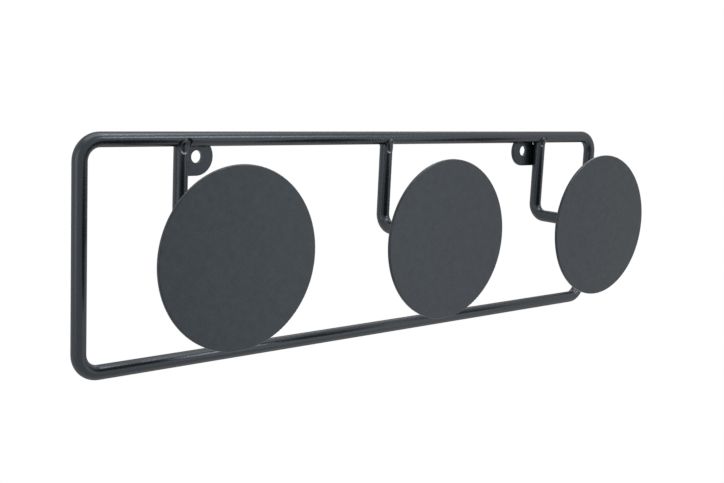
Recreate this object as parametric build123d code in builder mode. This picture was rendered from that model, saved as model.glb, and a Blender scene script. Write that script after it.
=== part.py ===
"""Wall coat rail: a closed frame of round steel rod with three disc-fronted hooks.

Millimetres.  +X runs along the rail, +Z is up and the discs face -Y.  The wall is the plane Y = 0, and
the origin lies on it midway between the two screw holes.
"""

import os
from math import sqrt

from build123d import *

# Rod and frame
rod_diameter = 8.0
frame_width = 422.0        # over the outside of the rod
frame_height = 129.0       # over the outside of the rod
frame_bend = 11.0          # centre-line radius of the four corners

# Hooks
hook_inset = 62.5          # from the frame's outer side to an outer hook's axis
hook_drop = 55.5           # from the top rail's axis down to the arm's axis
hook_bend = 8.5            # centre-line radius of the bend from hanger to arm
hook_reach = 64.5          # from the wall to the front of the discs
disc_diameter = 95.0
disc_thickness = 2.0
disc_edge = 0.6            # rounding of the disc's two rims

# Screw lugs
lug_thickness = 2.0
lug_radius = 10.5          # round end, and half the lug's height
lug_lap = 0.5              # how far the lug reaches past the axes of the two rods behind which it lies
lug_clip = 8.0             # corner cut off to clear the hanger's back weld
lug_edge = 0.4             # rounding of the lug's front outline
screw_hole_diameter = 7.0
screw_inset = 12.5         # from the hanger's axis to the screw hole

# Weld between a hanger and the rail: an egg-shaped bead on the front and a smaller one on the back
front_weld_width = 6.8
front_weld_length = 14.4   # of the whole egg, whose tips lie inside the rods
front_weld_rise = 0.9      # how far the front bead stands proud of the rods
front_weld_shift = 0.6     # bead's middle, to the right of the hanger
front_weld_fall = 0.2      # bead's middle, below the hanger's top
front_weld_lean = 28.0     # degrees, the bead's upper end leans to the right
back_weld_width = 5.6
back_weld_length = 6.5
back_weld_lift = 0.8       # bead's middle, above the hanger's top
back_weld_clearance = 0.8  # from the back bead to the wall

# Welds along the lugs and round the arms
rail_seam_radius = 1.4
rail_seam_length = 12.0
rail_seam_shift = 2.6      # seam's middle, from the screw hole towards the middle of the rail
hanger_seam_radius = 0.9
hanger_seam_length = 10.0
hanger_seam_shift = 0.4    # seam's axis, beyond the lug's straight end
hanger_seam_gap = 0.6      # from the seam to the wall
disc_weld_leg = 2.0
disc_weld_hollow = 4.0     # radius of the weld's hollow face

# Places worked out from the sizes above
rod_radius = rod_diameter / 2
rod_y = -(lug_thickness + rod_radius)
rail_z = lug_radius - lug_lap
frame_middle_z = rail_z + rod_radius - frame_height / 2
hanger_top_z = rail_z - rod_radius
arm_z = rail_z - hook_drop
disc_back_y = -(hook_reach - disc_thickness)
hook_pitch = frame_width / 2 - hook_inset
screw_x = hook_pitch - screw_inset
hooks = {"left": -hook_pitch, "middle": 0.0, "right": hook_pitch}
lug_sides = {"left": -1, "right": 1}
rod_plane = Plane.XZ.offset(-rod_y)    # through the rods' axes, facing the front

os.makedirs("parts", exist_ok=True)


def save(part, name):
    """Label a finished piece and write it to its own file."""
    part.label = name
    export_step(part, f"parts/{name}.step")


def egg_bead(plane, width, length, side_kept, joined):
    """An egg-shaped bead along the plane's Y direction, on one side of the rods, cut back to them."""
    with BuildPart() as bead:
        with BuildSketch(plane):
            Ellipse(width / 2, length / 2)
            Rectangle(width, length, align=(Align.MIN, Align.CENTER), mode=Mode.INTERSECT)
        revolve(axis=Axis(plane.origin, plane.y_dir))
        split(bisect_by=rod_plane, keep=side_kept)
        for piece in joined:
            add(piece, mode=Mode.SUBTRACT)
    return bead.part


def seam_bead(plane, radius, length, joined):
    """A round-ended bead along the plane's X direction, cut back to the pieces that it joins."""
    with BuildPart() as bead:
        with BuildSketch(plane):
            SlotOverall(length, 2 * radius)
            Rectangle(length, radius, align=(Align.CENTER, Align.MIN), mode=Mode.INTERSECT)
        revolve(axis=Axis(plane.origin, plane.x_dir))
        for piece in joined:
            add(piece, mode=Mode.SUBTRACT)
    return bead.part


# Frame: one closed loop of rod, bent at its four corners
half_width = frame_width / 2 - rod_radius
half_height = frame_height / 2 - rod_radius
with BuildPart() as frame_rod:
    with BuildLine(rod_plane) as frame_path:
        FilletPolyline(
            (-half_width, frame_middle_z + half_height),
            (half_width, frame_middle_z + half_height),
            (half_width, frame_middle_z - half_height),
            (-half_width, frame_middle_z - half_height),
            radius=frame_bend,
            close=True,
        )
    loop = frame_path.wires()[0]
    with BuildSketch(Plane(origin=loop @ 0, z_dir=loop % 0)):
        Circle(rod_radius)
    sweep(path=loop)
save(frame_rod.part, "frame_rod")

# Hangers: rod cut square under the rail, bent forward into an arm that ends on the disc's back
hangers = {}
for side, hook_x in hooks.items():
    with BuildPart() as hanger:
        with BuildLine() as hanger_path:
            FilletPolyline(
                (hook_x, rod_y, hanger_top_z),
                (hook_x, rod_y, arm_z),
                (hook_x, disc_back_y, arm_z),
                radius=hook_bend,
            )
        with BuildSketch(Plane.XY.offset(hanger_top_z)):
            with Locations((hook_x, rod_y)):
                Circle(rod_radius)
        sweep(path=hanger_path.wires()[0])
    hangers[side] = hanger.part
    save(hanger.part, f"hanger_{side}")

# Discs: flat sheet with eased rims, square to the arms
for side, hook_x in hooks.items():
    with BuildPart() as disc:
        with BuildSketch(Plane.XZ.offset(-disc_back_y)):
            with Locations((hook_x, arm_z)):
                Circle(disc_diameter / 2)
        extrude(amount=disc_thickness)
        fillet(disc.edges(), radius=disc_edge)
    save(disc.part, f"disc_{side}")

# Lugs: D-shaped plates lapped behind the rail and an outer hanger, with a clipped inner corner
lugs = {}
for side, sign in lug_sides.items():
    hole_x = sign * screw_x
    end_x = hooks[side] + sign * lug_lap
    with BuildPart() as lug:
        with BuildSketch(Plane.XZ):
            with BuildLine():
                Polyline(
                    (hole_x, lug_radius),
                    (end_x - sign * lug_clip, lug_radius),
                    (end_x, lug_radius - lug_clip),
                    (end_x, -lug_radius),
                    (hole_x, -lug_radius),
                )
                ThreePointArc((hole_x, -lug_radius), (hole_x - sign * lug_radius, 0), (hole_x, lug_radius))
            make_face()
            with Locations((hole_x, 0)):
                Circle(screw_hole_diameter / 2, mode=Mode.SUBTRACT)
        extrude(amount=lug_thickness)
        front = lug.faces().sort_by(Axis.Y)[0]
        fillet(front.outer_wire().edges(), radius=lug_edge)
    lugs[side] = lug.part
    save(lug.part, f"lug_{side}")

# Welds that hold a hanger to the rail
front_sink = front_weld_width / 2 - front_weld_rise
back_sink = back_weld_width / 2 - (lug_thickness - back_weld_clearance)
for side, hook_x in hooks.items():
    rods = [frame_rod.part, hangers[side]]
    front_plane = Plane(
        origin=(hook_x + front_weld_shift, rod_y - rod_radius + front_sink, hanger_top_z - front_weld_fall),
        x_dir=(1, 0, 0),
        z_dir=(0, -1, 0),
    ).rotated((0, 0, -front_weld_lean))
    front_weld = egg_bead(front_plane, front_weld_width, front_weld_length, Keep.TOP, rods)
    save(front_weld, f"front_weld_{side}")
    back_plane = Plane(
        origin=(hook_x, rod_y + rod_radius - back_sink, hanger_top_z + back_weld_lift),
        x_dir=(1, 0, 0),
        z_dir=(0, -1, 0),
    )
    back_weld = egg_bead(back_plane, back_weld_width, back_weld_length, Keep.BOTTOM, rods)
    save(back_weld, f"back_weld_{side}")

# Welds that hold the lugs: one in the groove under the rail, one from a lug's end to the hanger's back
rail_seam_y = -lug_thickness - rail_seam_radius / 2
rail_seam_z = rail_z - sqrt(2 * rod_radius * rail_seam_radius)
hanger_seam_y = -(hanger_seam_gap + hanger_seam_radius)
hanger_seam_z = -lug_clip / 2
for side, sign in lug_sides.items():
    rail_plane = Plane(
        origin=(sign * (screw_x - rail_seam_shift), rail_seam_y, rail_seam_z),
        x_dir=(1, 0, 0),
        z_dir=(0, -1, 0),
    )
    rail_seam = seam_bead(rail_plane, rail_seam_radius, rail_seam_length, [frame_rod.part, lugs[side]])
    save(rail_seam, f"rail_seam_{side}")
    hanger_plane = Plane(
        origin=(hooks[side] + sign * (lug_lap + hanger_seam_shift), hanger_seam_y, hanger_seam_z),
        x_dir=(0, 0, 1),
        z_dir=(0, -1, 0),
    )
    hanger_seam = seam_bead(hanger_plane, hanger_seam_radius, hanger_seam_length, [hangers[side], lugs[side]])
    save(hanger_seam, f"hanger_seam_{side}")

# Welds round the arms on the backs of the discs
for side, hook_x in hooks.items():
    ring_x = hook_x + rod_radius
    with BuildPart() as disc_weld:
        with BuildSketch(Plane.XY.offset(arm_z)):
            with BuildLine():
                Polyline(
                    (ring_x, disc_back_y + disc_weld_leg),
                    (ring_x, disc_back_y),
                    (ring_x + disc_weld_leg, disc_back_y),
                )
                RadiusArc(
                    (ring_x + disc_weld_leg, disc_back_y),
                    (ring_x, disc_back_y + disc_weld_leg),
                    disc_weld_hollow,
                )
            make_face()
        revolve(axis=Axis((hook_x, disc_back_y, arm_z), (0, 1, 0)))
    save(disc_weld.part, f"disc_weld_{side}")
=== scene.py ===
"""Looks of the wall coat rail: coated rods, discs and lugs, laid weld beads and a white studio.

Metres.  +X runs along the rail, +Y into the wall and +Z up, and the discs face -Y.
"""

import logging
import math
from dataclasses import dataclass, field
from enum import Enum

import bpy
from mathutils import Matrix, Vector


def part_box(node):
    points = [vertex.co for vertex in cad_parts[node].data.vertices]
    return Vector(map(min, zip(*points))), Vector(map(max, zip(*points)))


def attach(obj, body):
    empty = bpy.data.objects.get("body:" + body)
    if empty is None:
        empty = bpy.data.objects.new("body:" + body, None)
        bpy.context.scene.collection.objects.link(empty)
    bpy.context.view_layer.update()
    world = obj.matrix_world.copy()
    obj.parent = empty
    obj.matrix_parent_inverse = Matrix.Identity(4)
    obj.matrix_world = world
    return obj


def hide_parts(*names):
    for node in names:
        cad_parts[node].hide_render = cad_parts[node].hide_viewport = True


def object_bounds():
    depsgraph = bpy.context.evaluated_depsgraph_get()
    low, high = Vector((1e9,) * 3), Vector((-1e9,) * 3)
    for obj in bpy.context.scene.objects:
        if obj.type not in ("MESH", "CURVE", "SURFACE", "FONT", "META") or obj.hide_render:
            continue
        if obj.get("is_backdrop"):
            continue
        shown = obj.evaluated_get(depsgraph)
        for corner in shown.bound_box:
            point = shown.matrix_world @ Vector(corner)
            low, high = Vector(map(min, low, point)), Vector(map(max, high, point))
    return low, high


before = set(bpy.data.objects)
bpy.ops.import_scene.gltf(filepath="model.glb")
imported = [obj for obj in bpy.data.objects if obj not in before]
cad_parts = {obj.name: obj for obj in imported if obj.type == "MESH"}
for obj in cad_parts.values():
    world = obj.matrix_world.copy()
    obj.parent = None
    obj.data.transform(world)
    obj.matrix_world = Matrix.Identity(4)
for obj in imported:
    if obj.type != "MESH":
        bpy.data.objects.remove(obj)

MM = 0.001
BODY = "root"

# Linear colours of the coat itself and of its reflections
COAT_TINT = (0.0068, 0.0090, 0.0112)
SHEEN_TINT = (0.785, 0.888, 1.0)

# The range that holds most values of a noise
NOISE_LOW = 0.3
NOISE_HIGH = 0.7

# Fineness of a lobe of weld metal before it flows into its neighbours
LOBE_SEGMENTS = 24
LOBE_RINGS = 16

log = logging.getLogger("coat_rail")


class Hook(Enum):
    """The hooks, from the viewer's left to right."""

    LEFT = "left"
    MIDDLE = "middle"
    RIGHT = "right"


class Lug(Enum):
    """The screw lugs, each beside an outer hook, and the way from the middle of the rail to that hook."""

    LEFT = ("left", -1)
    RIGHT = ("right", 1)

    @property
    def side(self) -> str:
        """Name of the side that the lug is on."""
        return self.value[0]

    @property
    def outward(self) -> int:
        """Sign of X from the middle of the rail towards the lug's hook."""
        return self.value[1]


def start_object_mode() -> None:
    """Leave edit mode, if it is on, and deselect everything."""
    if bpy.context.object and bpy.context.object.mode != "OBJECT":
        bpy.ops.object.mode_set(mode="OBJECT")
    bpy.ops.object.select_all(action="DESELECT")


def make_active(piece: bpy.types.Object) -> None:
    """Select one object alone and make it the active one.

    Args:
        piece: The object.
    """
    start_object_mode()
    piece.select_set(True)
    bpy.context.view_layer.objects.active = piece


def set_in_mesh(piece: bpy.types.Object) -> None:
    """Move an object's place, turn and scale into its mesh."""
    make_active(piece)
    bpy.ops.object.transform_apply(location=True, rotation=True, scale=True)


def apply_modifier(piece: bpy.types.Object, kind: str, **settings: object) -> None:
    """Add a modifier to a piece, set it and apply it.

    Args:
        piece: The object to change.
        kind: Blender's name of the modifier's type.
        **settings: Values of the modifier's own settings.
    """
    make_active(piece)
    modifier = piece.modifiers.new(kind.lower(), kind)
    for setting, value in settings.items():
        setattr(modifier, setting, value)
    bpy.ops.object.modifier_apply(modifier=modifier.name)


def add_lobe(centre: Vector, radii: Vector, turn: Matrix | None = None) -> bpy.types.Object:
    """Add an egg of weld metal.

    Args:
        centre: Its middle.
        radii: Its half sizes along its own X, Y and Z.
        turn: Its turn, or None to leave it square.

    Returns:
        The new object, with its place in its mesh.
    """
    start_object_mode()
    bpy.ops.mesh.primitive_uv_sphere_add(segments=LOBE_SEGMENTS, ring_count=LOBE_RINGS, radius=1.0)
    lobe = bpy.context.object
    rotation = turn.to_4x4() if turn else Matrix.Identity(4)
    lobe.matrix_world = Matrix.Translation(centre) @ rotation @ Matrix.Diagonal(radii).to_4x4()
    set_in_mesh(lobe)
    return lobe


def join_lobes(lobes: list[bpy.types.Object], name: str) -> bpy.types.Object:
    """Join loose lobes into one object, still as separate shells.

    Args:
        lobes: The objects to join.
        name: Name of the result.

    Returns:
        The joined object.
    """
    start_object_mode()
    for lobe in lobes:
        lobe.select_set(True)
    bpy.context.view_layer.objects.active = lobes[0]
    if len(lobes) > 1:
        bpy.ops.object.join()
    joined = bpy.context.object
    joined.name = name
    joined.data.name = name
    return joined


@dataclass(frozen=True)
class PowderCoat:
    """A powder coat, or the near-black paint that paints the shade in a weld's crater: its colour, gloss,
    orange peel and grain.

    Attributes:
        name: Name of the material.
        tint: Linear colour.
        tint_spread: How far the colour wanders, as a share of it.
        mottle: Size of the patches that the colour wanders over.
        roughness: Middle roughness.
        roughness_spread: How far the roughness wanders each way, with the orange peel.
        peel: Width of the orange peel's dimples.
        peel_height: Height of the orange peel.
        grain: Width of the grain.
        grain_height: Height of the grain.
        sheen: Strength of the reflections.
        edge_share: Share of the reflections that is left where the coat is seen edge-on.
        edge_start: How far a surface turns away, from 0 to 1 at its outline, before they weaken.
        edge_end: How far it has turned when they are at their weakest.
        mottle_octaves: Number of finer octaves in the patches.
        peel_octaves: Number of finer octaves in the orange peel.
        grain_octaves: Number of finer octaves in the grain.
    """

    name: str
    tint: tuple[float, float, float]
    tint_spread: float
    mottle: float
    roughness: float
    roughness_spread: float
    peel: float
    peel_height: float
    grain: float
    grain_height: float
    sheen: float = 0.58
    edge_share: float = 1.0
    edge_start: float = 0.40
    edge_end: float = 0.74
    mottle_octaves: float = 3.0
    peel_octaves: float = 1.0
    grain_octaves: float = 2.0

    def _noise(self, tree: bpy.types.NodeTree, size: float, octaves: float) -> bpy.types.Node:
        """Add a noise of a given feature size that follows the object's own coordinates.

        Args:
            tree: The material's node tree.
            size: Width of a feature.
            octaves: Number of finer octaves.

        Returns:
            The noise node.
        """
        noise = tree.nodes.new("ShaderNodeTexNoise")
        noise.inputs["Scale"].default_value = 1.0 / size
        noise.inputs["Detail"].default_value = octaves
        tree.links.new(tree.nodes["where"].outputs["Object"], noise.inputs["Vector"])
        return noise

    def _spread(
        self,
        tree: bpy.types.NodeTree,
        noise: bpy.types.Node,
        low: float,
        high: float,
    ) -> bpy.types.Node:
        """Map a noise's usual range to a range of values.

        Args:
            tree: The material's node tree.
            noise: The noise to map.
            low: Value at the noise's low end.
            high: Value at the noise's high end.

        Returns:
            The mapping node.
        """
        spread = tree.nodes.new("ShaderNodeMapRange")
        spread.inputs["From Min"].default_value = NOISE_LOW
        spread.inputs["From Max"].default_value = NOISE_HIGH
        spread.inputs["To Min"].default_value = low
        spread.inputs["To Max"].default_value = high
        tree.links.new(noise.outputs["Fac"], spread.inputs["Value"])
        return spread

    def _bump(
        self,
        tree: bpy.types.NodeTree,
        noise: bpy.types.Node,
        height: float,
        under: bpy.types.Node | None = None,
    ) -> bpy.types.Node:
        """Add a bump of a given height from a noise.

        Args:
            tree: The material's node tree.
            noise: Gives the bump's form.
            height: Height of the bump.
            under: A bump that this one lies on, if any.

        Returns:
            The bump node.
        """
        bump = tree.nodes.new("ShaderNodeBump")
        bump.inputs["Strength"].default_value = 1.0
        bump.inputs["Distance"].default_value = height
        tree.links.new(noise.outputs["Fac"], bump.inputs["Height"])
        if under:
            tree.links.new(under.outputs["Normal"], bump.inputs["Normal"])
        return bump

    def _edge_loss(self, tree: bpy.types.NodeTree) -> bpy.types.Node:
        """Weaken the reflections where the coat is seen edge-on.

        Args:
            tree: The material's node tree.

        Returns:
            The node that gives the reflections' strength.
        """
        turned = tree.nodes.new("ShaderNodeLayerWeight")
        loss = tree.nodes.new("ShaderNodeMapRange")
        loss.interpolation_type = "SMOOTHSTEP"
        loss.inputs["From Min"].default_value = self.edge_start
        loss.inputs["From Max"].default_value = self.edge_end
        loss.inputs["To Min"].default_value = self.sheen
        loss.inputs["To Max"].default_value = self.sheen * self.edge_share
        tree.links.new(turned.outputs["Facing"], loss.inputs["Value"])
        return loss

    def material(self) -> bpy.types.Material:
        """Build the coat's material.

        Returns:
            The new material.
        """
        material = bpy.data.materials.new(self.name)
        material.use_nodes = True
        tree = material.node_tree
        shader = tree.nodes["Principled BSDF"]
        shader.inputs["Specular Tint"].default_value = (*SHEEN_TINT, 1.0)
        shader.inputs["Specular IOR Level"].default_value = self.sheen
        if self.edge_share < 1.0:
            tree.links.new(self._edge_loss(tree).outputs["Result"], shader.inputs["Specular IOR Level"])
        where = tree.nodes.new("ShaderNodeTexCoord")
        where.name = "where"

        mottle = self._noise(tree, self.mottle, self.mottle_octaves)
        share = self._spread(tree, mottle, 0.0, 1.0)
        colour = tree.nodes.new("ShaderNodeMix")
        colour.data_type = "RGBA"
        dark = [channel * (1.0 - self.tint_spread) for channel in self.tint]
        light = [channel * (1.0 + self.tint_spread) for channel in self.tint]
        colour.inputs["A"].default_value = (*dark, 1.0)
        colour.inputs["B"].default_value = (*light, 1.0)
        tree.links.new(share.outputs["Result"], colour.inputs["Factor"])
        tree.links.new(colour.outputs["Result"], shader.inputs["Base Color"])

        peel = self._noise(tree, self.peel, self.peel_octaves)
        smoothest = self.roughness - self.roughness_spread
        roughest = self.roughness + self.roughness_spread
        gloss = self._spread(tree, peel, smoothest, roughest)
        tree.links.new(gloss.outputs["Result"], shader.inputs["Roughness"])

        grain = self._noise(tree, self.grain, self.grain_octaves)
        waves = self._bump(tree, peel, self.peel_height)
        surface = self._bump(tree, grain, self.grain_height, waves)
        tree.links.new(surface.outputs["Normal"], shader.inputs["Normal"])
        return material


ROD_COAT = PowderCoat(
    name="rod_coat",
    tint=COAT_TINT,
    tint_spread=0.08,
    mottle=14 * MM,
    roughness=0.27,
    roughness_spread=0.03,
    peel=1.6 * MM,
    peel_height=0.008 * MM,
    grain=0.35 * MM,
    grain_height=0.005 * MM,
    edge_share=0.05,
)
SHEET_COAT = PowderCoat(
    name="sheet_coat",
    tint=COAT_TINT,
    tint_spread=0.50,
    mottle=3.5 * MM,
    roughness=0.30,
    roughness_spread=0.04,
    peel=1.2 * MM,
    peel_height=0.014 * MM,
    grain=0.40 * MM,
    grain_height=0.012 * MM,
    sheen=0.52,
)
WELD_COAT = PowderCoat(
    name="weld_coat",
    tint=COAT_TINT,
    tint_spread=0.15,
    mottle=3 * MM,
    roughness=0.23,
    roughness_spread=0.05,
    peel=0.9 * MM,
    peel_height=0.012 * MM,
    grain=0.30 * MM,
    grain_height=0.012 * MM,
)
# Near-black, dull paint for the weld craters: painted shade of a deep pit
PIT_SHADE_PAINT = PowderCoat(
    name="painted_pit_shade",
    tint=(0.004, 0.004, 0.005),
    tint_spread=0.3,
    mottle=0.8 * MM,
    roughness=0.7,
    roughness_spread=0.1,
    peel=0.6 * MM,
    peel_height=0.03 * MM,
    grain=0.2 * MM,
    grain_height=0.02 * MM,
    sheen=0.1,
)


@dataclass
class CoatedNodes:
    """Pieces of the rail whose solids are shown as they are, under one coat.

    Attributes:
        nodes: Names of the solids.
        coat: Material that covers them.
    """

    nodes: tuple[str, ...]
    coat: bpy.types.Material

    def dress(self) -> None:
        """Put the coat on every one of the solids."""
        for name in self.nodes:
            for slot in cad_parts[name].material_slots:
                slot.material = self.coat
            log.info("%s coated with %s", name, self.coat.name)


@dataclass
class WeldWork:
    """Weld metal: its coat, its uneven skin, and how lobes of it flow together.

    Attributes:
        coat: Material of the beads.
        voxel: Finest detail that is kept when lobes flow together.
        flow_rounds: Rounds of smoothing that flow them together.
        flow_share: How far each round moves a point towards its neighbours, as a share.
        slag: Width of the unevenness on a bead.
        slag_height: Height of that unevenness.
        rod_radius: Radius of the rods, from the rail's own solid.
        rail: Middle of the top rail.
    """

    coat: bpy.types.Material
    voxel: float = 0.16 * MM
    flow_rounds: int = 5
    flow_share: float = 0.5
    slag: float = 1.1 * MM
    slag_height: float = 0.16 * MM
    rod_radius: float = field(init=False)
    rail: Vector = field(init=False)

    def __post_init__(self) -> None:
        """Read the rods' size and the rail's place from the solids."""
        low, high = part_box("frame_rod")
        self.rod_radius = (high.y - low.y) / 2
        self.rail = Vector((0, (low.y + high.y) / 2, high.z - self.rod_radius))

    def hook_x(self, side: str) -> float:
        """X of a hook's hanger, given its side."""
        low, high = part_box(f"hanger_{side}")
        return (low.x + high.x) / 2

    def flow(self, piece: bpy.types.Object) -> None:
        """Flow a bead's lobes into one skin and roughen it a little.

        Args:
            piece: The joined lobes.
        """
        apply_modifier(piece, "REMESH", mode="VOXEL", voxel_size=self.voxel)
        apply_modifier(piece, "SMOOTH", factor=self.flow_share, iterations=self.flow_rounds)
        self.roughen(piece)

    def roughen(self, piece: bpy.types.Object) -> None:
        """Make a bead's skin a little uneven.

        Args:
            piece: The bead.
        """
        clouds = bpy.data.textures.new(f"{piece.name}_slag", "CLOUDS")
        clouds.noise_scale = self.slag
        apply_modifier(
            piece,
            "DISPLACE",
            texture=clouds,
            texture_coords="LOCAL",
            strength=self.slag_height,
            mid_level=0.5,
        )

    def hand_over(self, piece: bpy.types.Object, node: str) -> None:
        """Coat a finished bead and let it stand for its solid.

        Args:
            piece: The finished bead.
            node: Name of the solid that it stands for.
        """
        self.coat_piece(piece)
        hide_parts(node)
        log.info("%s stands for %s", piece.name, node)

    def coat_piece(self, piece: bpy.types.Object) -> None:
        """Smooth and coat a finished piece of weld metal, and fix it to the rail.

        Args:
            piece: The finished piece.
        """
        make_active(piece)
        bpy.ops.object.shade_smooth()
        if not piece.data.materials:
            piece.data.materials.append(self.coat)
        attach(piece, BODY)
        log.info("%s coated, %d faces", piece.name, len(piece.data.polygons))


@dataclass(frozen=True)
class TongueShape:
    """How one front bead was laid.

    Attributes:
        middle: Its middle, to the right of the hanger's axis and above the hanger's top.
        half_length: Half its length.
        half_width: Half its width.
        lean: How far its upper end leans to the right, in radians.
        bend: How far its two ends bend to the right.
        lip: How far its lip stands above its floor at the lower left.
        crater: How far round its edge its crater reaches each way, in radians, or 0 for none.
        crater_turn: Direction of the crater's middle, from the upper end round to the right, in radians.
    """

    middle: Vector
    half_length: float
    half_width: float
    lean: float
    bend: float
    lip: float
    crater: float = 0.0
    crater_turn: float = 0.0


TONGUES = {
    Hook.LEFT: TongueShape(
        middle=Vector((0.4, 0.5)) * MM,
        half_length=5.6 * MM,
        half_width=3.6 * MM,
        lean=math.radians(34),
        bend=1.0 * MM,
        lip=0.80 * MM,
        crater=math.radians(62),
        crater_turn=math.radians(15),
    ),
    Hook.MIDDLE: TongueShape(
        middle=Vector((0.1, -1.0)) * MM,
        half_length=5.4 * MM,
        half_width=3.5 * MM,
        lean=math.radians(22),
        bend=0.4 * MM,
        lip=0.60 * MM,
    ),
    Hook.RIGHT: TongueShape(
        middle=Vector((-0.5, 0.9)) * MM,
        half_length=4.5 * MM,
        half_width=2.9 * MM,
        lean=math.radians(38),
        bend=0.8 * MM,
        lip=0.55 * MM,
        crater=math.radians(40),
    ),
}


@dataclass
class FrontBeads(WeldWork):
    """The tongue-shaped beads that run from the front of the rail down the front of each hanger.

    A bead's floor slopes down from its upper end to a lip round its lower left.  A crescent of a shallow
    crater lies where the weld was stopped, and near-black paint in it paints the shade of a deep pit.  A
    way is a share of the way from the bead's middle to its edge.

    Attributes:
        fill: Widest step between the rail's front and the hanger's over which their crease is filled.
        floor_rise: How far the lower part of the floor stands proud of the rods.
        floor_slope: How much further it stands proud at the upper end.
        floor_end: Height at which the slope ends, as a share of the bead's half length above its middle.
        lip_turn: Direction in which the lip is highest, from the upper end round to the right, in radians.
        lip_swell: How much the lip's height varies round the bead, as a share of its mean.
        foot_depth: How deep the bead's edge lies inside the rods.
        root_depth: How much deeper the bead's root lies.
        floor_way: Way to where the floor ends and the lip starts.
        lip_way: Way to the lip's crest.
        crater_way: Way to where the crater's inner wall starts.
        crater_wall: Width of that wall, as a way.
        crater_rise: How far the crater's bottom stands proud of the rods.
        crater_fade: Turn over which the crater runs out at either side, in radians.
        slag: As for all weld work, but wider.
        slag_height: As for all weld work, but lower.
        scale: Near-black material in the crater, which paints the shade of a deep pit.
        pit_shade_start: How far a place has to sink into the crater, from 0 to 1, before the painted shade
            covers it.
        segments: Faces round a bead's edge.
        rings: Faces from the middle of a bead's front, round its edge, to the middle of its back.
    """

    fill: float = 1.5 * MM
    floor_rise: float = 0.28 * MM
    floor_slope: float = 0.30 * MM
    floor_end: float = -0.5
    lip_turn: float = math.radians(-120)
    lip_swell: float = 0.9
    foot_depth: float = 0.3 * MM
    root_depth: float = 1.2 * MM
    floor_way: float = 0.62
    lip_way: float = 0.83
    crater_way: float = 0.60
    crater_wall: float = 0.07
    crater_rise: float = 0.06 * MM
    crater_fade: float = math.radians(20)
    slag: float = 1.6 * MM
    slag_height: float = 0.03 * MM
    scale: bpy.types.Material | None = None
    pit_shade_start: float = 0.3
    segments: int = 96
    rings: int = 64

    def _rods_front(self, right: float, up: float) -> float:
        """How far the front of the rods lies before their axes, with the crease between them filled.

        Args:
            right: Distance to the right of the hanger's axis.
            up: Distance above the rail's axis.

        Returns:
            The distance.
        """
        hanger = math.sqrt(max(self.rod_radius**2 - right**2, 0.0))
        rail = math.sqrt(max(self.rod_radius**2 - up**2, 0.0))
        filled = max(self.fill - abs(hanger - rail), 0.0)
        return max(hanger, rail) + filled**2 / (4 * self.fill)

    def _rise(self, shape: TongueShape, right: float, up: float) -> float:
        """How far a bead's face stands proud of the rods.

        Args:
            shape: How the bead was laid.
            right: Place to the right of the bead's middle, as a share of its half width.
            up: Place above the bead's middle, as a share of its half length.

        Returns:
            The rise, which is negative inside the rods.
        """
        way = min(math.hypot(right, up), 1.0)
        climb = max(up - self.floor_end, 0.0) / (1 - self.floor_end)
        floor = self.floor_rise + self.floor_slope * climb
        swell = math.cos(math.atan2(right, up) - self.lip_turn)
        lip = shape.lip * (1 + self.lip_swell * swell) / (1 + self.lip_swell)
        if way < self.lip_way:
            rise = floor + lip * max(way - self.floor_way, 0.0) / (self.lip_way - self.floor_way)
        else:
            fall = 0.5 - 0.5 * math.cos(math.pi * (way - self.lip_way) / (1 - self.lip_way))
            rise = floor + lip - (floor + lip + self.foot_depth) * fall
        hollow = self._hollow(shape, right, up)
        return rise * (1 - hollow) + min(self.crater_rise, rise) * hollow

    def _hollow(self, shape: TongueShape, right: float, up: float) -> float:
        """How far a place on a bead has sunk into its crater.

        Args:
            shape: How the bead was laid.
            right: Place to the right of the bead's middle, as a share of its half width.
            up: Place above the bead's middle, as a share of its half length.

        Returns:
            The share, from 0 to 1 at the crater's bottom.
        """
        wall = (math.hypot(right, up) - self.crater_way) / self.crater_wall
        turn = abs(math.atan2(right, up) - shape.crater_turn)
        side = (shape.crater - turn) / self.crater_fade
        return max(min(wall, 1.0), 0.0) * max(min(side, 1.0), 0.0)

    def build(self, hook: Hook) -> bpy.types.Object:
        """Lay one front bead: a ball, pressed onto the rods and dished.

        Args:
            hook: The hook whose hanger it holds.

        Returns:
            The finished bead.
        """
        start_object_mode()
        bpy.ops.mesh.primitive_uv_sphere_add(
            segments=self.segments,
            ring_count=self.rings,
            radius=1.0,
            rotation=(math.radians(90), 0, 0),
        )
        bead = bpy.context.object
        set_in_mesh(bead)
        bead.name = f"front_bead_{hook.value}"
        bead.data.name = bead.name

        shape = TONGUES[hook]
        lean = Matrix.Rotation(-shape.lean, 2)
        hook_x = self.hook_x(hook.value)
        hanger_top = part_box(f"hanger_{hook.value}")[1].z
        bead.data.materials.append(self.coat)
        # Second slot: the near-black paint that paints the crater's shade
        bead.data.materials.append(self.scale)
        for face in bead.data.polygons:
            right, back, up = face.center
            # Faces deep enough in the crater get the near-black paint, a painted shade
            in_painted_shade = back < 0 and self._hollow(shape, right, up) > self.pit_shade_start
            face.material_index = int(in_painted_shade)
        for vertex in bead.data.vertices:
            right, back, up = vertex.co
            aside = right * shape.half_width + up**2 * shape.bend
            spot = shape.middle + lean @ Vector((aside, up * shape.half_length))
            z = hanger_top + spot.y
            if back < 0:
                rise = self._rise(shape, right, up)
            else:
                rise = -self.foot_depth - self.root_depth * back
            depth = self._rods_front(spot.x, z - self.rail.z) + rise
            vertex.co = Vector((hook_x + spot.x, self.rail.y - depth, z))
        apply_modifier(bead, "SUBSURF", levels=1, render_levels=1)
        self.roughen(bead)
        self.hand_over(bead, f"front_weld_{hook.value}")
        return bead


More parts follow.
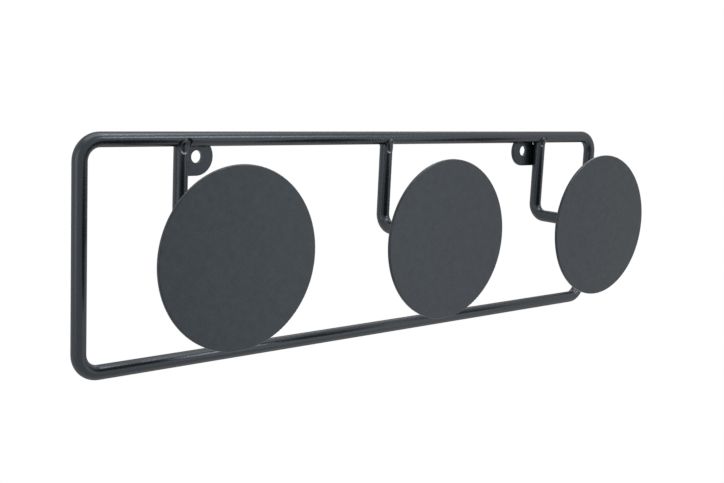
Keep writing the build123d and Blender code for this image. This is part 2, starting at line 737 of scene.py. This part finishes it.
@dataclass
class BackBeads(WeldWork):
    """The short beads that fill the groove behind each hanger's top.

    Attributes:
        lobes: Number of lobes that make up a bead.
        lobe_height: Height of a lobe, as a share of its width.
    """

    lobes: int = 4
    lobe_height: float = 0.62

    def build(self, hook: Hook) -> bpy.types.Object:
        """Lay one back bead.

        Args:
            hook: The hook whose hanger it holds.

        Returns:
            The finished bead.
        """
        low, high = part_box(f"back_weld_{hook.value}")
        middle = (low + high) / 2
        radius = (high.x - low.x) / 2
        depth = Vector((0, high.y - radius, 0))
        run = (high.z - low.z) - radius
        parts = []
        for step in range(self.lobes):
            share = step / (self.lobes - 1) - 0.5
            centre = Vector((middle.x, 0, middle.z + share * run)) + depth
            parts.append(add_lobe(centre, Vector((radius, radius, self.lobe_height * radius))))
        bead = join_lobes(parts, f"back_bead_{hook.value}")
        self.flow(bead)
        self.hand_over(bead, f"back_weld_{hook.value}")
        return bead


@dataclass
class DiscRings(WeldWork):
    """The rippled fillet welds round each arm, on the back of its disc.

    Attributes:
        lobes: Number of lobes round a ring.
        overlap: How far a lobe reaches along the ring, as a share of the room that it has.
        inset: From the weld's outer edge in to its lobes' middles, as a share of the weld's leg.
        lift: From the disc's back to the lobes' middles, as a share of the leg.
        half_depth: Half a lobe's depth, square to the weld's face, as a share of the leg.
        half_width: Half a lobe's width, across the weld's face, as a share of the leg.
        slope: Angle of the weld's face to the disc, in radians.
    """

    lobes: int = 20
    overlap: float = 0.8
    inset: float = 0.62
    lift: float = 0.1
    half_depth: float = 0.62
    half_width: float = 1.15
    slope: float = math.radians(45)

    def build(self, hook: Hook, order: int) -> bpy.types.Object:
        """Lay one ring.

        Args:
            hook: The hook whose arm it goes round.
            order: The hook's place in the row, which sets where its ring was started.

        Returns:
            The finished ring.
        """
        low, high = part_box(f"disc_weld_{hook.value}")
        centre = (low + high) / 2
        leg = high.y - low.y
        ring = (high.x - low.x) / 2 - self.inset * leg
        reach = self.overlap * 2 * math.pi * ring / self.lobes
        radii = Vector((self.half_depth * leg, self.half_width * leg, reach))
        slope = Matrix.Rotation(self.slope, 3, "Z")
        parts = []
        for step in range(self.lobes):
            angle = 2 * math.pi * (step + order / len(Hook)) / self.lobes
            turn = Matrix.Rotation(-angle, 3, "Y")
            place = Vector((centre.x, low.y + self.lift * leg, centre.z)) + turn @ Vector((ring, 0, 0))
            parts.append(add_lobe(place, radii, turn @ slope))
        bead = join_lobes(parts, f"disc_ring_{hook.value}")
        self.flow(bead)
        self.hand_over(bead, f"disc_weld_{hook.value}")
        return bead


@dataclass
class LugSeams(WeldWork):
    """The short seams in the grooves between a lug and the two rods that it lies behind.

    Attributes:
        radius: Half a seam's width.
        pitch: From one lobe of a seam to the next.
        overlap: How far a lobe reaches along the seam to either side, as a share of the pitch.
    """

    radius: float = 1.4 * MM
    pitch: float = 1.5 * MM
    overlap: float = 0.8

    def build(self, node: str, bare: Vector, name: str) -> bpy.types.Object:
        """Lay one seam along its solid.

        Args:
            node: Name of the solid that it stands for.
            bare: For each axis, the side on which the seam lies bare, -1 or 1, or 0 where it runs
                along that axis.
            name: Name of the seam.

        Returns:
            The finished seam.
        """
        low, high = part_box(node)
        along = list(bare).index(0)
        run = high[along] - low[along] - 2 * self.radius
        count = round(run / self.pitch) + 1
        parts = []
        for step in range(count):
            centre = (low + high) / 2
            for axis in range(3):
                if bare[axis]:
                    centre[axis] = low[axis] + self.radius if bare[axis] < 0 else high[axis] - self.radius
            centre[along] += run * (step / (count - 1) - 0.5)
            radii = Vector((1, 1, 1)) * self.radius
            radii[along] = self.overlap * self.pitch
            parts.append(add_lobe(centre, radii))
        seam = join_lobes(parts, name)
        self.flow(seam)
        self.hand_over(seam, node)
        return seam


@dataclass
class Spatter(WeldWork):
    """Grains of weld metal that stuck to the front of the rail, left of the middle hanger.

    Attributes:
        grains: Number of grains.
        start: From the hanger to the nearest grain.
        pitch: From one grain to the next.
        radius: Radius of the largest grain.
        height: Middle of the row of grains, below the rail's axis.
        wander: How far a grain strays above or below that row.
        wander_along: How far it strays along the row, as a share of the pitch.
        wander_step: Turn from one grain's stray to the next one's, in radians.
        shrink: How much the size varies, as a share of the radius each way from the middle size.
        shrink_step: Turn from one grain's size to the next one's, in radians.
        form: A grain's width, depth and height, as shares of its size.
    """

    grains: int = 5
    start: float = 7.6 * MM
    pitch: float = 2.3 * MM
    radius: float = 0.7 * MM
    height: float = 0.8 * MM
    wander: float = 0.6 * MM
    wander_along: float = 0.2
    wander_step: float = 2.4
    shrink: float = 0.2
    shrink_step: float = 3.1
    form: tuple[float, float, float] = (1.25, 0.9, 1.0)

    def build(self, hook: Hook) -> bpy.types.Object:
        """Stick the grains to the rail.

        Args:
            hook: The hook beside which they lie.

        Returns:
            The grains, as one object.
        """
        parts = []
        for step in range(self.grains):
            stray = math.sin(self.wander_step * step)
            drop = self.height - self.wander * stray
            depth = math.sqrt(self.rod_radius**2 - drop**2)
            reach = self.start + self.pitch * (step + self.wander_along * stray)
            place = Vector((self.hook_x(hook.value) - reach, self.rail.y - depth, self.rail.z - drop))
            size = self.radius * (1 - self.shrink + self.shrink * math.cos(self.shrink_step * step))
            parts.append(add_lobe(place, Vector(self.form) * size))
        grains = join_lobes(parts, "weld_spatter")
        self.flow(grains)
        self.coat_piece(grains)
        return grains


@dataclass(frozen=True)
class SoftBox:
    """A studio lamp with a rectangular diffuser for a face.

    Attributes:
        name: Name of the lamp.
        place: Where it stands.
        aim: The point that it faces.
        width: Width of its face.
        height: Height of its face.
        watts: Its power.
    """

    name: str
    place: tuple[float, float, float]
    aim: tuple[float, float, float]
    width: float
    height: float
    watts: float

    def add(self) -> bpy.types.Object:
        """Stand the lamp in the scene.

        Returns:
            The lamp.
        """
        start_object_mode()
        bpy.ops.object.light_add(type="AREA", location=self.place)
        lamp = bpy.context.object
        lamp.name = self.name
        lamp.data.shape = "RECTANGLE"
        lamp.data.size = self.width
        lamp.data.size_y = self.height
        lamp.data.energy = self.watts
        facing = Vector(self.aim) - Vector(self.place)
        lamp.rotation_mode = "QUATERNION"
        lamp.rotation_quaternion = facing.to_track_quat("-Z", "Y")
        log.info("%s lit", self.name)
        return lamp


RAIL_MIDDLE = (0.0, -0.03, -0.05)
LAMPS = (
    SoftBox(
        name="overhead_box",
        place=(0.0, -0.10, 1.05),
        aim=RAIL_MIDDLE,
        width=1.3,
        height=0.9,
        watts=7.0,
    ),
    SoftBox(
        name="front_box",
        place=(0.55, -0.95, 0.62),
        aim=(-0.08, 0.0, 0.0),
        width=0.46,
        height=0.32,
        watts=3.7,
    ),
    SoftBox(
        name="top_spot",
        place=(0.28, -0.33, 1.00),
        aim=RAIL_MIDDLE,
        width=0.14,
        height=0.14,
        watts=1.4,
    ),
    SoftBox(
        name="left_box",
        place=(-1.25, -0.25, 0.15),
        aim=RAIL_MIDDLE,
        width=0.8,
        height=0.9,
        watts=3.0,
    ),
    SoftBox(
        name="right_box",
        place=(0.86, -1.23, -0.15),
        aim=RAIL_MIDDLE,
        width=0.66,
        height=0.90,
        watts=1.3,
    ),
    SoftBox(
        name="back_box",
        place=(0.80, 0.68, 0.62),
        aim=RAIL_MIDDLE,
        width=0.60,
        height=0.30,
        watts=0.8,
    ),
)


@dataclass(frozen=True)
class Viewpoint:
    """Where the photograph was taken from.

    Attributes:
        place: The lens.
        yaw: Turn of the view from +Y towards +X, in degrees.
        pitch: Its rise above the horizon, in degrees.
        roll: Lean of the camera, in degrees.
        lens: Focal length in millimetres on a sensor as wide as the sensor field.
        sensor: Width of the sensor in millimetres.
        nearest: Distance within which nothing is seen.
    """

    place: tuple[float, float, float] = (-0.45642, -0.49992, 0.04897)
    yaw: float = 41.693
    pitch: float = -8.867
    roll: float = 2.715
    lens: float = 53.559
    sensor: float = 36.0
    nearest: float = 0.01

    def add(self) -> bpy.types.Object:
        """Set up the camera and make it the scene's own.

        Returns:
            The camera.
        """
        start_object_mode()
        bpy.ops.object.camera_add()
        camera = bpy.context.object
        camera.name = "photo_camera"
        camera.data.sensor_fit = "HORIZONTAL"
        camera.data.sensor_width = self.sensor
        camera.data.lens = self.lens
        camera.data.clip_start = self.nearest
        camera.matrix_world = (
            Matrix.Translation(self.place)
            @ Matrix.Rotation(-math.radians(self.yaw), 4, "Z")
            @ Matrix.Rotation(math.radians(90 + self.pitch), 4, "X")
            @ Matrix.Rotation(math.radians(self.roll), 4, "Z")
        )
        bpy.context.scene.camera = camera
        return camera


@dataclass
class Studio:
    """White surroundings with soft lamps and a pale floor under the rail.

    Attributes:
        floor_drop: From the rail's lowest point down to the floor.
        floor_width: Width of the floor.
        floor_paint: Grey level of the floor's paint.
        floor_roughness: Roughness of that paint.
        floor_lift: Added brightness of the floor as the lens sees it.
        fade_start: Distance from the floor's middle at which it starts to fade into the background.
        fade_end: Distance at which it has faded.
        ambient: Strength of the light from all round.
    """

    floor_drop: float = 0.6
    floor_width: float = 6.0
    floor_paint: float = 0.8
    floor_roughness: float = 0.9
    floor_lift: float = 0.25
    fade_start: float = 0.45
    fade_end: float = 0.95
    ambient: float = 0.55

    def _seen_directly(self, tree: bpy.types.NodeTree) -> bpy.types.NodeSocket:
        """Give 1 to rays from the lens, and to those that gloss or glass passes on.

        Args:
            tree: The node tree to add to.

        Returns:
            The socket with that number.
        """
        path = tree.nodes.new("ShaderNodeLightPath")
        total = path.outputs["Is Camera Ray"]
        for ray in ("Is Glossy Ray", "Is Transmission Ray"):
            either = tree.nodes.new("ShaderNodeMath")
            either.operation = "MAXIMUM"
            tree.links.new(total, either.inputs[0])
            tree.links.new(path.outputs[ray], either.inputs[1])
            total = either.outputs["Value"]
        return total

    def surround(self) -> None:
        """Make the world white to the lens and to reflections, and a plain level of light otherwise."""
        world = bpy.data.worlds.new("white_surround")
        bpy.context.scene.world = world
        world.use_nodes = True
        tree = world.node_tree
        light = tree.nodes["Background"]
        light.inputs["Color"].default_value = (1, 1, 1, 1)
        light.inputs["Strength"].default_value = self.ambient
        white = tree.nodes.new("ShaderNodeBackground")
        white.inputs["Color"].default_value = (1, 1, 1, 1)
        white.inputs["Strength"].default_value = 1.0
        choice = tree.nodes.new("ShaderNodeMixShader")
        tree.links.new(self._seen_directly(tree), choice.inputs["Fac"])
        tree.links.new(light.outputs["Background"], choice.inputs[1])
        tree.links.new(white.outputs["Background"], choice.inputs[2])
        tree.links.new(choice.outputs["Shader"], tree.nodes["World Output"].inputs["Surface"])

    def _floor_material(self) -> bpy.types.Material:
        """Pale paint that takes shadows in the middle and fades to the white background.

        Returns:
            The material.
        """
        material = bpy.data.materials.new("floor_paint")
        material.use_nodes = True
        tree = material.node_tree
        paint = tree.nodes["Principled BSDF"]
        paint.inputs["Base Color"].default_value = (self.floor_paint,) * 3 + (1,)
        paint.inputs["Roughness"].default_value = self.floor_roughness
        paint.inputs["Specular IOR Level"].default_value = 0.0
        seen = self._seen_directly(tree)

        lift = tree.nodes.new("ShaderNodeEmission")
        lifted = tree.nodes.new("ShaderNodeMath")
        lifted.operation = "MULTIPLY"
        lifted.inputs[1].default_value = self.floor_lift
        tree.links.new(seen, lifted.inputs[0])
        tree.links.new(lifted.outputs["Value"], lift.inputs["Strength"])
        near = tree.nodes.new("ShaderNodeAddShader")
        tree.links.new(paint.outputs["BSDF"], near.inputs[0])
        tree.links.new(lift.outputs["Emission"], near.inputs[1])

        far = tree.nodes.new("ShaderNodeEmission")
        where = tree.nodes.new("ShaderNodeTexCoord")
        distance = tree.nodes.new("ShaderNodeVectorMath")
        distance.operation = "LENGTH"
        tree.links.new(where.outputs["Object"], distance.inputs[0])
        fade = tree.nodes.new("ShaderNodeMapRange")
        fade.interpolation_type = "SMOOTHSTEP"
        fade.inputs["From Min"].default_value = self.fade_start
        fade.inputs["From Max"].default_value = self.fade_end
        tree.links.new(distance.outputs["Value"], fade.inputs["Value"])
        share = tree.nodes.new("ShaderNodeMath")
        share.operation = "MULTIPLY"
        tree.links.new(fade.outputs["Result"], share.inputs[0])
        tree.links.new(seen, share.inputs[1])
        floor = tree.nodes.new("ShaderNodeMixShader")
        tree.links.new(share.outputs["Value"], floor.inputs["Fac"])
        tree.links.new(near.outputs["Shader"], floor.inputs[1])
        tree.links.new(far.outputs["Emission"], floor.inputs[2])
        tree.links.new(floor.outputs["Shader"], tree.nodes["Material Output"].inputs["Surface"])
        return material

    def lay_floor(self, lowest: float) -> None:
        """Lay the floor under the rail.

        Args:
            lowest: Z of the rail's lowest point.
        """
        start_object_mode()
        bpy.ops.mesh.primitive_plane_add(size=self.floor_width, location=(0, 0, lowest - self.floor_drop))
        floor = bpy.context.object
        floor.name = "floor"
        floor.data.materials.append(self._floor_material())
        floor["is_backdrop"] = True
        log.info("floor laid %.2f m under the rail", self.floor_drop)

    def light(self) -> None:
        """Stand the soft lamps."""
        for box in LAMPS:
            box.add()

    def set_up(self, lowest: float) -> None:
        """Build the whole studio.

        Args:
            lowest: Z of the rail's lowest point.
        """
        bpy.context.scene.view_settings.view_transform = "Standard"
        self.surround()
        self.lay_floor(lowest)
        self.light()
        Viewpoint().add()


def main() -> None:
    """Dress the rail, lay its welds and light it."""
    logging.basicConfig(level=logging.INFO, format="%(name)s: %(message)s")
    solid_low, solid_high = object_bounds()

    rod_coat = ROD_COAT.material()
    sheet_coat = SHEET_COAT.material()
    weld_coat = WELD_COAT.material()
    hooks = [hook.value for hook in Hook]
    CoatedNodes(("frame_rod", *(f"hanger_{side}" for side in hooks)), rod_coat).dress()
    CoatedNodes(tuple(f"disc_{side}" for side in hooks), sheet_coat).dress()
    CoatedNodes(tuple(f"lug_{lug.side}" for lug in Lug), sheet_coat).dress()

    # The front beads' craters get the near-black painted shade
    front_beads = FrontBeads(weld_coat, scale=PIT_SHADE_PAINT.material())
    back_beads = BackBeads(weld_coat)
    disc_rings = DiscRings(weld_coat)
    for order, hook in enumerate(Hook):
        front_beads.build(hook)
        back_beads.build(hook)
        disc_rings.build(hook, order)
    Spatter(weld_coat, voxel=0.1 * MM).build(Hook.MIDDLE)
    rail_seams = LugSeams(weld_coat)
    hanger_seams = LugSeams(weld_coat, radius=0.9 * MM)
    rail_bare = Vector((0, -1, -1))
    for lug in Lug:
        hanger_bare = Vector((lug.outward, 1, 0))
        rail_seams.build(f"rail_seam_{lug.side}", rail_bare, f"rail_bead_{lug.side}")
        hanger_seams.build(f"hanger_seam_{lug.side}", hanger_bare, f"hanger_bead_{lug.side}")

    Studio().set_up(solid_low.z)


if __name__ == "__main__":
    main()
